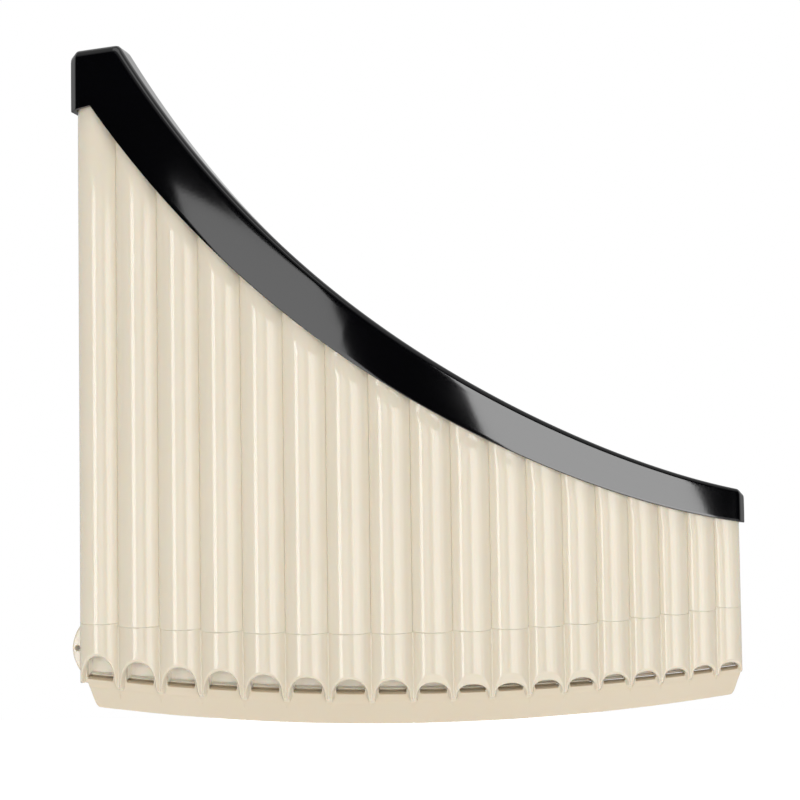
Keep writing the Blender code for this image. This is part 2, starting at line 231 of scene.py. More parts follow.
def smooth_max(a, b, blend):
    h = np.clip(0.5 + 0.5 * (a - b) / blend, 0.0, 1.0)
    return b + (a - b) * h + blend * h * (1 - h)


def smooth_min(a, b, blend):
    return -smooth_max(-a, -b, blend)


def linked(name, data):
    made = bpy.data.objects.new(name, data)
    bpy.context.scene.collection.objects.link(made)
    return made


def faceted_object(name, points, faces, sharp):
    """A smooth-shaded mesh object in the frame whose edges stay sharp above an angle in degrees."""
    mesh = bpy.data.meshes.new(name)
    mesh.from_pydata(in_frame(points).tolist(), [], faces)
    mesh.update()
    mesh.shade_smooth()
    mesh.set_sharp_from_angle(angle=math.radians(sharp))
    return linked(name, mesh)


def object_of(name, points, faces, normals=None):
    """A mesh object of quads, in the frame, with its own normals where they are given."""
    mesh = bpy.data.meshes.new(name)
    mesh.vertices.add(len(points))
    mesh.vertices.foreach_set("co", in_frame(points).astype(np.float32).ravel())
    mesh.loops.add(faces.size)
    mesh.loops.foreach_set("vertex_index", faces.astype(np.int32).ravel())
    mesh.polygons.add(len(faces))
    mesh.polygons.foreach_set("loop_start", np.arange(len(faces), dtype=np.int32) * faces.shape[1])
    mesh.update(calc_edges=True)
    mesh.shade_smooth()
    if normals is not None:
        mesh.normals_split_custom_set_from_vertices(normals.tolist())
    return linked(name, mesh)


CORNERS = np.array([(a, b, c) for a in (0, 1) for b in (0, 1) for c in (0, 1)])

# Points of a net are pulled onto the surface this many times, by no more than the longest pull.
PULLS = 3
PULL_PROBE = 0.03
LONGEST_PULL = 0.2
LEAST_SLOPE = 0.05
NORMAL_PROBE = 0.08


def cell_edges():
    pairs = []
    for a in range(8):
        for b in range(a + 1, 8):
            if np.abs(CORNERS[a] - CORNERS[b]).sum() == 1:
                pairs.append((a, b))
    return pairs


def net_vertices(values, crossed):
    """The mean of the crossings on each crossed cell's edges, in grid steps."""
    where = np.argwhere(crossed)
    at_corner = [values[tuple((where + corner).T)] for corner in CORNERS]
    total = np.zeros((len(where), 3))
    count = np.zeros(len(where))
    for a, b in cell_edges():
        low, high = at_corner[a], at_corner[b]
        cross = (low < 0) != (high < 0)
        t = np.where(cross, low / np.where(cross, low - high, 1.0), 0.0)
        total += cross[:, None] * (CORNERS[a] + t[:, None] * (CORNERS[b] - CORNERS[a]))
        count += cross
    return where + total / count[:, None]


def net_faces(inside, numbers):
    """One quad for each grid edge that leaves or enters the solid, facing out."""
    quads = []
    for axis in range(3):
        first, second = (axis + 1) % 3, (axis + 2) % 3
        here = np.take(inside, range(inside.shape[axis] - 1), axis)
        there = np.take(inside, range(1, inside.shape[axis]), axis)
        for leaving in (True, False):
            where = np.argwhere(here & ~there if leaving else ~here & there)
            inner = (where[:, first] > 0) & (where[:, second] > 0)
            inner &= where[:, first] < inside.shape[first] - 1
            inner &= where[:, second] < inside.shape[second] - 1
            where = where[inner]
            ring = []
            for a, b in ((1, 1), (0, 1), (0, 0), (1, 0)):
                cell = where.copy()
                cell[:, first] -= a
                cell[:, second] -= b
                ring.append(numbers[tuple(cell.T)])
            quad = np.stack(ring, axis=-1)
            quads.append(quad[:, ::-1] if leaving else quad)
    return np.concatenate(quads)


def gradient(field, s, d, z, step):
    return np.stack([
        field(s + step, d, z) - field(s - step, d, z),
        field(s, d + step, z) - field(s, d - step, z),
        field(s, d, z + step) - field(s, d, z - step),
    ], axis=-1) / (2 * step)


def net_surface(name, field, s_nodes, d_nodes, v_nodes, painted_shade_and_light=None):
    """The surface where a field along, forward and up is zero; v is the height above the slit line."""
    base = slit_height(s_nodes)[:, None, None]
    values = field(s_nodes[:, None, None], d_nodes[None, :, None], base + v_nodes[None, None, :])
    inside = values < 0
    rows, columns, layers = np.array(inside.shape) - 1
    filled = sum(
        inside[a:rows + a, b:columns + b, c:layers + c].astype(np.int8) for a, b, c in CORNERS
    )
    crossed = (filled > 0) & (filled < 8)
    numbers = np.full(crossed.shape, -1, dtype=np.int64)
    numbers[crossed] = np.arange(crossed.sum())
    steps = net_vertices(values, crossed)
    s = np.interp(steps[:, 0], np.arange(len(s_nodes)), s_nodes)
    d = np.interp(steps[:, 1], np.arange(len(d_nodes)), d_nodes)
    z = np.interp(steps[:, 2], np.arange(len(v_nodes)), v_nodes) + slit_height(s)
    for _ in range(PULLS):
        slope = gradient(field, s, d, z, PULL_PROBE)
        size = np.maximum((slope**2).sum(axis=-1), LEAST_SLOPE)
        move = np.clip(field(s, d, z) / size, -LONGEST_PULL, LONGEST_PULL)
        s, d, z = s - move * slope[:, 0], d - move * slope[:, 1], z - move * slope[:, 2]
    slope = gradient(field, s, d, z, NORMAL_PROBE)
    normals = bent_normals(s, slope[:, 0], slope[:, 1], slope[:, 2])
    made = object_of(name, bent(s, d, z), net_faces(inside, numbers), normals)
    # Marks on the mesh for painted shade (above 0) and painted light (below 0).
    if painted_shade_and_light:
        marks = made.data.attributes.new("painted_shade_and_light", "FLOAT", "POINT")
        marks.data.foreach_set("value", painted_shade_and_light(s, d, z).astype(np.float32))
    return made


def ring_faces(rings, around):
    """Quads between closed rings of equal length."""
    faces = []
    for r in range(rings - 1):
        low, high = r * around, (r + 1) * around
        for k in range(around):
            n = (k + 1) % around
            faces.append((low + k, low + n, high + n, high + k))
    return faces


def loft_object(name, rings, sharp):
    """A closed solid through rings, with one flat face at each end."""
    around = len(rings[0])
    faces = ring_faces(len(rings), around)
    faces.append(tuple(reversed(range(around))))
    faces.append(tuple(range((len(rings) - 1) * around, len(rings) * around)))
    return faceted_object(name, np.concatenate(rings), faces, sharp)


# ---- mouthpiece ----------------------------------------------------------------------------------

FINE_STEP = 0.36
FAR_OUT = 50.0
VALLEY_FILLET = 1.1
EDGE_ROUND = 0.35
FACE_FILLET = 0.6
LUG_FILLET = 0.5
SOFT_EDGE = 0.3
CUT_EDGE = 0.25
CRISP_EDGE = 0.08
SLIT_OVERLAP = 0.4
END_REACH = 40.0
LUG_ROOT = 2.2
LUG_FULLNESS = 0.8
LUG_EDGE = 0.6
CORNER_FILLET = 0.5
PLATE_ROUND = 0.4
WINDWAY_EDGE = 0.2
LEAST_HEEL = 0.5
SLANT_EASE = 0.9

# The nets' reach: back and front of the arc, and below and above the slit line.
NET_BACK = -9.6
NET_FRONT = 8.4
NET_LOW = -16.0
NET_HIGH = 29.0
NET_MARGIN = 6.0
PLATE_FRONT = -0.6
PLATE_HIGH = 3.0
PLATE_MARGIN = 2.0

# How strongly each place is marked for painted shade, warm and dark (above 0), or for painted light, pale
# (below 0).
LIP_PAINTED_SHADE = 1.3
SLIT_PAINTED_SHADE = 2.6
PAINTED_LIGHT_HEADS = 9
LITTLE_PAINTED_LIGHT = 0.6
BORE_REACH = 0.3
FACE_REACH = 0.15
BEVEL_ABOVE = 0.2
BEVEL_BELOW = 0.1
BEVEL_INSET = 0.2
SLOT_BLEND = 0.3


def unit_of(s):
    return np.clip(np.searchsorted(EDGES, s, side="right") - 1, 0, PIPE_COUNT - 1)


def rounded_section(across, d, half, front, side, back):
    """Distance from a section with a rounded front, flat sides and a rounded back."""
    depth = np.where(d > 0, front, back)
    reach = np.where(d > 0, d, np.minimum(d + side, 0.0))
    q = np.sqrt((across / half) ** 2 + (reach / depth) ** 2)
    slope = np.sqrt((across / half**2) ** 2 + (reach / depth**2) ** 2) / np.maximum(q, 0.3)
    return (q - 1) / np.maximum(slope, 1 / half)


def ribs(s, d, unit, u):
    """Distance outside the row of ribs, with a fillet in each valley."""
    width = WIDTHS[unit]
    shape = (FRONT_SHARE * width, SIDE_SHARE * width, BACK_SHARE * width)
    own = rounded_section(np.abs(u), d, width / 2, *shape)
    next_one = rounded_section(width - np.abs(u), d, width / 2, *shape)
    at_end = ((unit == 0) & (u < 0)) | ((unit == PIPE_COUNT - 1) & (u > 0))
    next_one = np.where(at_end, FAR_OUT, next_one)
    return smooth_min(own, next_one, VALLEY_FILLET)


def lip_face(s, z):
    """Depth of the lip's face, which leans back a little towards the mouth edge."""
    return LIP_FACE - LIP_TILT * np.maximum(slit_height(s) - z, 0.0)


def arch(u, d, z, unit):
    """Distance outside the arched cut of a window, which widens towards the front of its rib."""
    width = WIDTHS[unit]
    slit = slit_height(MIDDLES[unit])
    spring = slit - SPRING_SHARE * width
    labium = slit + CUT_UPS[unit] * LABIUM_SHARES[unit]
    surface = FRONT_SHARE * width * np.sqrt(np.maximum(1 - (2 * u / width) ** 2, 0.0))
    forward = np.clip((d - surface + HEAD_WALL) / HEAD_WALL, 0.0, 1.0)
    rise = labium - spring + (RIMS[unit] - labium) * forward
    half = (0.5 - LEG_SHARE) * width + ARCH_DRAFT * np.maximum(d, 0.0)
    half = half + LEG_TAPER * np.maximum(spring - z, 0.0)
    round_top = np.hypot(u / half, np.maximum(z - spring, 0.0) / rise)
    return (round_top - 1) * np.minimum(half, rise)


def head_bore(u, d, unit):
    """Distance from a head's bore: rounded in front, flat at the sides and the back."""
    width = WIDTHS[unit]
    half = HEAD_BORE_SHARE * width / 2
    front = FRONT_SHARE * width - HEAD_WALL - np.where(LABIUM_SHARES[unit] < 1, DEEP_WALL, EDGE_WALL)
    tube = rounded_section(np.abs(u), np.maximum(d, 0.0), half, front, 1.0, 1.0)
    return smooth_max(tube, -(d + HEAD_BACK_SHARE * width), SOFT_EDGE)


def end_trims(s, z):
    """Distance outside the slanting ends of the lip plate."""
    trims = -FAR_OUT
    for end, sign, inset in ((EDGES[0], 1, END_INSETS[0]), (EDGES[-1], -1, END_INSETS[1])):
        foot = arc_height(LIP_LINE, end)
        inward = sign * (s - end)
        step = foot + END_STEP_RISE - z
        slope = END_SLANT / (END_STEP_RISE - END_CORNER)
        slant = (inset + slope * step - inward) / math.hypot(1.0, slope)
        corner = (inset + END_SLANT + END_CORNER + foot - inward - z) / math.sqrt(2)
        beyond = np.minimum(step, smooth_max(slant, corner, CORNER_FILLET))
        trims = np.maximum(trims, np.where(inward < END_REACH, beyond, -FAR_OUT))
    return trims


def lug(s, d, z):
    """Distance outside the cord lug, which bulges from the left side and ends inside the first head."""
    t = np.clip((z - LUG_MIDDLE) / (LUG_HEIGHT / 2), -1.0, 1.0)
    reach = EDGES[0] - LUG_REACH * np.cos(t * math.pi / 2) ** LUG_FULLNESS
    plate = smooth_max(np.abs(d - LUG_DEPTH) - LUG_THICKNESS / 2, (reach - s) * SLANT_EASE, LUG_EDGE)
    root = s - EDGES[0] - LUG_ROOT
    return np.maximum(plate, np.maximum(root, np.abs(z - LUG_MIDDLE) - LUG_HEIGHT / 2))


def lug_hole(s, z):
    """Distance outside the lug's round hole."""
    return np.hypot(s - (EDGES[0] - LUG_REACH + LUG_HOLE_INSET), z - LUG_MIDDLE) - LUG_HOLE / 2


def mouthpiece_field(s, d, z):
    """Distance outside the mouthpiece moulding, negative within it."""
    unit = unit_of(s)
    u = s - MIDDLES[unit]
    width = WIDTHS[unit]
    slit = slit_height(s)
    solid = ribs(s, d, unit, u)
    bow = SEAM_BOW * np.clip(d / (FRONT_SHARE * width), 0.0, 1.0)
    solid = smooth_max(solid, z - SEAMS[unit] + bow, CRISP_EDGE)
    solid = smooth_max(solid, arc_height(LIP_LINE, s) - z, FACE_FILLET)
    face = lip_face(s, z)
    run_out = face + RUN_OUT * (z - slit + TIP_SHARE * width)
    feet = smooth_min((d - run_out) / math.hypot(1.0, RUN_OUT), d - face, FACE_FILLET)
    solid = smooth_max(solid, feet, EDGE_ROUND)
    solid = smooth_max(solid, np.minimum(-arch(u, d, z, unit), d - face), SOFT_EDGE)
    window = WINDOW_SHARE * width / 2
    run = LIP_FACE + LIP_THICKNESS - LIP_EDGE
    bevel = ((d - LIP_FACE) * LIP_BEVEL + (z - slit + LIP_BEVEL) * run) / math.hypot(LIP_BEVEL, run)
    bevel = np.minimum(bevel, np.minimum(window - np.abs(u), slit + SLIT_OVERLAP - z))
    solid = smooth_max(solid, bevel, CUT_EDGE)
    bore = np.maximum(head_bore(u, d, unit), slit - SLIT_OVERLAP - z)
    solid = smooth_max(solid, -bore, CUT_EDGE)
    pocket = np.minimum(np.minimum(-(d + LIP_THICKNESS), slit - z), s - EDGES[0] - END_WALL)
    solid = np.maximum(solid, pocket)
    solid = smooth_max(solid, end_trims(s, z), SOFT_EDGE)
    solid = smooth_min(solid, lug(s, d, z), LUG_FILLET)
    return smooth_max(solid, -lug_hole(s, z), SOFT_EDGE)


def painted_light_share(s):
    """How strongly the inner walls get painted light: the wide heads more than the narrow ones."""
    return np.where(unit_of(s) < PAINTED_LIGHT_HEADS, 1.0, LITTLE_PAINTED_LIGHT)


def lip_painted_shade_and_light(s, d, z):
    """Above 0 for painted shade on the lip's face and its slit bevel, below 0 for painted light on the bore
    walls inside the heads.
    """
    below = slit_height(s) - z
    face = np.clip(below, 0.0, 1.0) * (np.abs(d - lip_face(s, z)) < FACE_REACH)
    at_bevel = (below > -BEVEL_ABOVE) & (below < LIP_BEVEL + BEVEL_BELOW)
    bevel = at_bevel & (d < LIP_FACE - BEVEL_INSET)
    unit = unit_of(s)
    at_bore = np.abs(head_bore(s - MIDDLES[unit], d, unit)) < BORE_REACH
    inside = (below < 0) & (d < -LIP_THICKNESS) & at_bore
    return LIP_PAINTED_SHADE * face + SLIT_PAINTED_SHADE * bevel - painted_light_share(s) * inside


def slot_painted_shade_and_light(s, d, z):
    """Painted shade along the windway's mouth, and below 0 painted light on the floor above it."""
    above = z - slit_height(s)
    slot_shade = SLIT_PAINTED_SHADE * np.clip(1.0 - (above - SLOT_RISE) / SLOT_BLEND, 0.0, 1.0)
    return slot_shade - painted_light_share(s) * (above > FLOOR_RISE)


def along_nodes(step, margin):
    """Places along the row with each valley halfway between two of them."""
    nodes = []
    for i in range(PIPE_COUNT):
        count = round(WIDTHS[i] / step)
        nodes.append(EDGES[i] + (np.arange(count) + 0.5) * WIDTHS[i] / count)
    before = nodes[0][0] - step * np.arange(math.ceil(margin / step), 0, -1)
    after = nodes[-1][-1] + step * np.arange(1, math.ceil(margin / step) + 1)
    return np.concatenate([before, *nodes, after])


def add_mouthpiece():
    made = net_surface(
        "mouthpiece_moulding",
        mouthpiece_field,
        along_nodes(FINE_STEP, NET_MARGIN),
        np.arange(NET_BACK, NET_FRONT, FINE_STEP),
        np.arange(NET_LOW, NET_HIGH, FINE_STEP),
        # Painted shade on the lip and slit bevel, painted light inside the heads.
        painted_shade_and_light=lip_painted_shade_and_light,
    )
    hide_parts("mouthpiece_body")
    return made


def lip_outline(s):
    """The mouth edge, carried up the slants at both ends of the lip."""
    left, right = EDGES[0], EDGES[-1]
    foot_left, foot_right = arc_height(LIP_LINE, left), arc_height(LIP_LINE, right)
    slope = (END_STEP_RISE - END_CORNER) / END_SLANT
    on_left = foot_left + END_STEP_RISE - (s - left - END_INSETS[0] - PLATE_INSET) * slope
    on_right = foot_right + END_STEP_RISE - (right - s - END_INSETS[1] - PLATE_INSET) * slope
    return np.maximum(arc_height(LIP_LINE, s), np.maximum(on_left, on_right))


def plate_field(s, d, z):
    """Distance outside the windway plate, flat behind the lip, with a windway and a floor for each head."""
    unit = unit_of(s)
    u = s - MIDDLES[unit]
    width = WIDTHS[unit]
    slit = slit_height(s)
    back = (SIDE_SHARE + BACK_SHARE) * width_at(s)
    low = lip_outline(s)
    top = slit - END_GAP
    solid = smooth_max(d + LIP_THICKNESS + END_GAP, z - top, CUT_EDGE)
    heel = np.maximum(top - PLATE_HEEL, low)
    run = (back - BEAK_THICKNESS) / np.maximum(heel - low, LEAST_HEEL)
    slope_back = -(d + back - np.maximum(heel - z, 0.0) * run) / np.sqrt(1 + run**2)
    solid = smooth_max(solid, slope_back, PLATE_ROUND)
    solid = smooth_max(solid, (low - z) * SLANT_EASE, PLATE_ROUND)
    half = HEAD_BORE_SHARE * width / 2 - FLOOR_GAP
    front = -LIP_THICKNESS - END_GAP - WINDWAY_HEIGHT
    wedge = np.maximum(z - slit - FLOOR_RISE - FLOOR_SLOPE * (front - d), d - front)
    slot = np.maximum(z - slit - SLOT_RISE, front - SLOT_DEPTH - d)
    wedge = np.maximum(wedge, -slot)
    behind = -(d + HEAD_BACK_SHARE * width - END_GAP)
    wedge = np.maximum(wedge, np.maximum(np.abs(u) - half, behind))
    wedge = np.maximum(wedge, slit - FLOOR_ROOT - z)
    solid = np.minimum(solid, wedge)
    windway = np.maximum(np.abs(u) - WINDOW_SHARE * width / 2, front - d)
    return smooth_max(solid, -windway, WINDWAY_EDGE)


def add_windway_plate():
    made = net_surface(
        "windway_plate_moulding",
        plate_field,
        along_nodes(FINE_STEP * 1.2, PLATE_MARGIN),
        np.arange(NET_BACK, PLATE_FRONT, FINE_STEP * 0.8),
        np.arange(NET_LOW, PLATE_HIGH, FINE_STEP),
        # Painted shade in the windway's mouth, painted light on the floors above it.
        painted_shade_and_light=slot_painted_shade_and_light,
    )
    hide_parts("windway_plate")
    return made


# ---- pipes ---------------------------------------------------------------------------------------

FRONT_STEPS = 72
BACK_STEPS = 36
RIB_TURN = 0.9
CREVICE_SHARE = 0.28
SHOULDER = 9.0
SHOULDER_DROP = 0.16
SHOULDER_STEPS = 12
SHOULDER_LEADS = (2.0, 1.0)
PIPE_BEVEL = 0.06
FOOT_RISES = (0.4, 1.0)
INNER_RISE = 0.3
PIPE_SHARP = 50


def section(half, front, side, back, outer):
    """A pipe's section as (across, forward) points, from the right round the front to the left and back.

    Towards its neighbours it ends in a shallow crevice; towards an outer side it is a full ellipse.
    """
    front_angle = np.linspace(0, math.pi, FRONT_STEPS + 1)
    back_angle = np.linspace(math.pi, 2 * math.pi, BACK_STEPS + 1)
    u = np.concatenate([half * np.cos(front_angle), half * np.cos(back_angle)])
    edge = math.sqrt(1 - RIB_TURN**2)
    bulge = (np.sqrt(1 - (RIB_TURN * np.cos(front_angle)) ** 2) - edge) / (1 - edge)
    shallow = CREVICE_SHARE + (1 - CREVICE_SHARE) * bulge
    shallow = np.where(outer * np.cos(front_angle) > 0, np.sin(front_angle), shallow)
    d = np.concatenate([front * shallow, -side + back * np.sin(back_angle)])
    return u, d


def pipe_ring(i, inset, level_at, drop):
    """A ring of a pipe: its section drawn in by an inset and lowered in front by a share of its depth."""
    width = WIDTHS[i]
    outer = {0: -1, PIPE_COUNT - 1: 1}.get(i, 0)
    half = (width - SHOWN_GAP) / 2 - inset
    front, back = FRONT_SHARE * width - inset, BACK_SHARE * width - inset
    u, d = section(half, front, SIDE_SHARE * width, back, outer)
    d = np.where(d > 0, d * (1 - drop), d)
    angle = MIDDLES[i] / PLAN_RADIUS
    centre = bent(MIDDLES[i], 0.0, 0.0)
    x = centre[0] + u * math.cos(angle) + d * math.sin(angle)
    y = centre[1] + u * math.sin(angle) - d * math.cos(angle)
    z = level_at(MIDDLES[i] + u, np.clip(d / (FRONT_SHARE * width), 0.0, 1.0))
    return np.stack([x, y, z], axis=-1)


def at_seam(level):
    return lambda s, forward: level - SEAM_BOW * forward


def under_rail(rise):
    return lambda s, forward: rail_lower(s) + rise


def add_pipe(i):
    """A tube with a rounded rib in front whose crest runs down a little as it goes under the rail."""
    bottom = SEAMS[i] + SHOWN_GAP
    top = PIPE_COVER_SHARE * (rail_upper(MIDDLES[i]) - rail_lower(MIDDLES[i]))
    rings = [pipe_ring(i, PIPE_BEVEL, at_seam(bottom), 0.0)]
    for rise in (PIPE_BEVEL, *FOOT_RISES):
        rings.append(pipe_ring(i, 0.0, at_seam(bottom + rise), 0.0))
    for lead in SHOULDER_LEADS:
        rings.append(pipe_ring(i, 0.0, under_rail(-SHOULDER - lead), 0.0))
    for t in np.linspace(0, 1, SHOULDER_STEPS + 1):
        drop = SHOULDER_DROP * t * t * (3 - 2 * t)
        rings.append(pipe_ring(i, 0.0, under_rail(-SHOULDER * (1 - t)), drop))
    rings.append(pipe_ring(i, 0.0, under_rail(top), SHOULDER_DROP))
    rings.append(pipe_ring(i, PIPE_WALL, under_rail(top), SHOULDER_DROP))
    rings.append(pipe_ring(i, PIPE_WALL, at_seam(bottom + INNER_RISE), 0.0))
    rings.append(pipe_ring(i, PIPE_WALL, at_seam(bottom), 0.0))
    around = len(rings[0])
    faces = ring_faces(len(rings), around)
    last = (len(rings) - 1) * around
    for k in range(around):
        n = (k + 1) % around
        faces.append((last + k, last + n, n, k))
    made = faceted_object(f"pipe_moulding_{i + 1:02d}", np.concatenate(rings), faces, PIPE_SHARP)
    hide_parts(f"pipe_{i + 1:02d}")
    return made


# ---- rail ----------------------------------------------------------------------------------------

FAN_STEPS = 26
CURVE_STEPS = 320
CLOSING_STEPS = 10

# The corner is turned by a moving mean along the upper edge, which sets in over a short ramp.
CORNER_REACH = 40.0
CORNER_BLUR = 1.6
CORNER_RAMP = 3.0

RAIL_EDGE = 0.35
RAIL_EDGE_CUT = 0.1
RAIL_BULGE = 0.35
FACE_STEPS = 12
CROWN_STEPS = 8
CROWN_DEPTH = 0.72
CROWN_LEAN = 0.1
CROWN_LIFT = 0.03
CROWN_BACK_DEPTH = 0.8
CEILING_SHARE = 0.6
LEAST_CEILING = 0.1
HOLLOW_MARGIN = 0.4
RAIL_SHARP = 40

RAIL_CHAMFER = 2.9
RAIL_CHAMFER_SLOPE = 0.75
CHAMFER_BLEND = 0.5
TOP_TUCK_SHARE = 0.8


def rail_edges():
    """Lower and upper edge of the rail from its left end to its right one, as pairs of places."""
    t = (1 - np.cos(np.linspace(0, math.pi / 2, FAN_STEPS, endpoint=False)))[:, None]
    along = np.linspace(0, 1, CURVE_STEPS)
    s_lower = RAIL_FOOT + along * (RAIL_END - RAIL_FOOT)
    s_upper = RAIL_CORNER + along * (RAIL_END - RAIL_CORNER)
    lower_curve = np.stack([s_lower, rail_lower(s_lower)], axis=-1)
    upper_curve = np.stack([s_upper, rail_upper(s_upper)], axis=-1)
    lower_left = np.array([RAIL_START, RAIL_LEFT_LOW])
    upper_left = np.array([RAIL_START, RAIL_LEFT_TOP])
    lower = np.concatenate([lower_left + t * (lower_curve[0] - lower_left), lower_curve])
    upper = np.concatenate([upper_left + t * (upper_curve[0] - upper_left), upper_curve])
    keep = (lower[:, 0] < RAIL_END) & (upper[:, 0] < RAIL_END)
    lower, upper = lower[keep], upper[keep]
    closing = np.cos(np.linspace(math.pi / 2, 0, CLOSING_STEPS))[1:, None]
    last_lower = [RAIL_END, float(rail_lower(RAIL_END))]
    last_upper = [RAIL_END, float(rail_upper(RAIL_END))]
    lower = np.concatenate([lower, lower[-1] + closing * (last_lower - lower[-1])])
    upper = np.concatenate([upper, upper[-1] + closing * (last_upper - upper[-1])])
    return lower, upper


def rounded_corner(upper):
    """Turns the corner between the rail's top and its falling edge."""
    length = np.concatenate([[0.0], np.cumsum(np.linalg.norm(np.diff(upper, axis=0), axis=1))])
    gaps = np.gradient(length)
    turned = upper.copy()
    for k in np.flatnonzero(length < CORNER_REACH):
        weight = gaps * np.exp(-(((length - length[k]) / CORNER_BLUR) ** 2))
        near = min(length[k] / CORNER_RAMP, 1.0)
        mean = (upper * weight[:, None]).sum(axis=0) / weight.sum()
        turned[k] = upper[k] + near * (mean - upper[k])
    return turned


def rail_profile(front, back, height, hollow):
    """The rail's section as (forward, height) points: front, top, back, then the channel inside."""
    crown = RAIL_CROWN_SHARE * height
    face = height - crown
    points = [(front - RAIL_WALL, 0.0), (front - RAIL_EDGE, 0.0)]
    points += [(front - RAIL_EDGE_CUT, RAIL_EDGE_CUT), (front, RAIL_EDGE)]
    for t in np.arange(1, FACE_STEPS) / FACE_STEPS:
        points.append((front + RAIL_BULGE * t * (1 - t), RAIL_EDGE + (face - 2 * RAIL_EDGE) * t))
    for t in np.linspace(0, 1, CROWN_STEPS + 1):
        turn = math.pi / 2 * t
        inward = CROWN_DEPTH * (1 - math.cos(turn)) + CROWN_LEAN * t
        upward = (1 - CROWN_LIFT) * math.sin(turn) + CROWN_LIFT * t
        points.append((front - crown * inward, face + crown * upward))
    for t in np.linspace(1, 0, CROWN_STEPS + 1):
        turn = math.pi / 2 * t
        inward = CROWN_BACK_DEPTH * (1 - math.cos(turn))
        points.append((back + crown * inward, face + crown * math.sin(turn)))
    points += [(back, RAIL_EDGE), (back + RAIL_EDGE_CUT, RAIL_EDGE_CUT)]
    points += [(back + RAIL_EDGE, 0.0), (back + RAIL_WALL, 0.0)]
    ceiling = max(height - RAIL_WALL - crown * CEILING_SHARE, LEAST_CEILING) if hollow else 0.0
    points += [(back + RAIL_WALL, ceiling), (front - RAIL_WALL, ceiling)]
    return np.array(points)


def end_tuck(s):
    """How far the rail's faces draw in next to its ends, for the chamfers there."""
    from_end = np.maximum(np.minimum(s - RAIL_START, RAIL_END - s), 0.0)
    return RAIL_CHAMFER_SLOPE * smooth_max(RAIL_CHAMFER - from_end, 0.0, CHAMFER_BLEND)


def rail_ring(low, high):
    """The rail's section between a place on its lower edge and one on its upper edge."""
    line = high - low
    height = float(np.hypot(*line))
    way = line / height
    middle = (low[0] + high[0]) / 2
    front, back = float(rail_front(middle)), float(rail_back(middle))
    hollow = min(low[0] - RAIL_START, RAIL_END - low[0]) > RAIL_WALL + HOLLOW_MARGIN
    drop = TOP_TUCK_SHARE * float(end_tuck(high[0]))
    profile = rail_profile(front, back, height - drop, hollow)
    s = low[0] + way[0] * profile[:, 1]
    z = low[1] + way[1] * profile[:, 1]
    d = profile[:, 0] - np.sign(profile[:, 0] - (front + back) / 2) * end_tuck(s)
    return bent(s, d, z)


def add_rail():
    lower, upper = rail_edges()
    rings = [rail_ring(low, high) for low, high in zip(lower, rounded_corner(upper))]
    made = loft_object("end_rail_moulding", rings, RAIL_SHARP)
    smooth = made.modifiers.new("flat_faces", "WEIGHTED_NORMAL")
    smooth.keep_sharp = True
    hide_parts("end_rail")
    return made


# ---- materials -----------------------------------------------------------------------------------

# Patterns: their scales per metre with their detail, and the stretch of the noise that is used.
TONE_NOISE = (14.0, 3.0)
TONE_STRETCH = (0.35, 0.65)
GLOSS_NOISE = (60.0, 4.0)
GLOSS_STRETCH = (0.3, 0.7)
BUMP_DETAIL = 2.0
BUMP_DISTANCE = 0.0001

# Light that enters the ivory: how far each colour travels, and the length that it is measured in.
INNER_RADIUS = (1.0, 0.6, 0.35)
INNER_SCALE = 0.0012

# Colours of the painted shade and of the painted light, and how much rougher the places with painted light
# get.
PAINTED_SHADE_COLOUR = (0.49, 0.345, 0.17, 1.0)
PAINTED_LIGHT_COLOUR = (0.94, 0.88, 0.77, 1.0)
INNER_DULLNESS = 2.0


def new_material(name):
    made = bpy.data.materials.new(name)
    made.use_nodes = True
    nodes = made.node_tree.nodes
    return made, nodes, made.node_tree.links, nodes["Principled BSDF"]


def noise(nodes, links, place, scale, detail):
    made = nodes.new("ShaderNodeTexNoise")
    made.inputs["Scale"].default_value = scale
    made.inputs["Detail"].default_value = detail
    links.new(place.outputs["Object"], made.inputs["Vector"])
    return made


def ramp(nodes, links, source, low, high):
    made = nodes.new("ShaderNodeValToRGB")
    made.color_ramp.elements[0].position = TONE_STRETCH[0]
    made.color_ramp.elements[1].position = TONE_STRETCH[1]
    made.color_ramp.elements[0].color = low
    made.color_ramp.elements[1].color = high
    links.new(source, made.inputs["Fac"])
    return made


def spread(nodes, links, source, stretch, low, high):
    """Turns a stretch of a source's values into the range from low to high."""
    made = nodes.new("ShaderNodeMapRange")
    made.inputs["From Min"].default_value = stretch[0]
    made.inputs["From Max"].default_value = stretch[1]
    made.inputs["To Min"].default_value = low
    made.inputs["To Max"].default_value = high
    links.new(source, made.inputs["Value"])
    return made


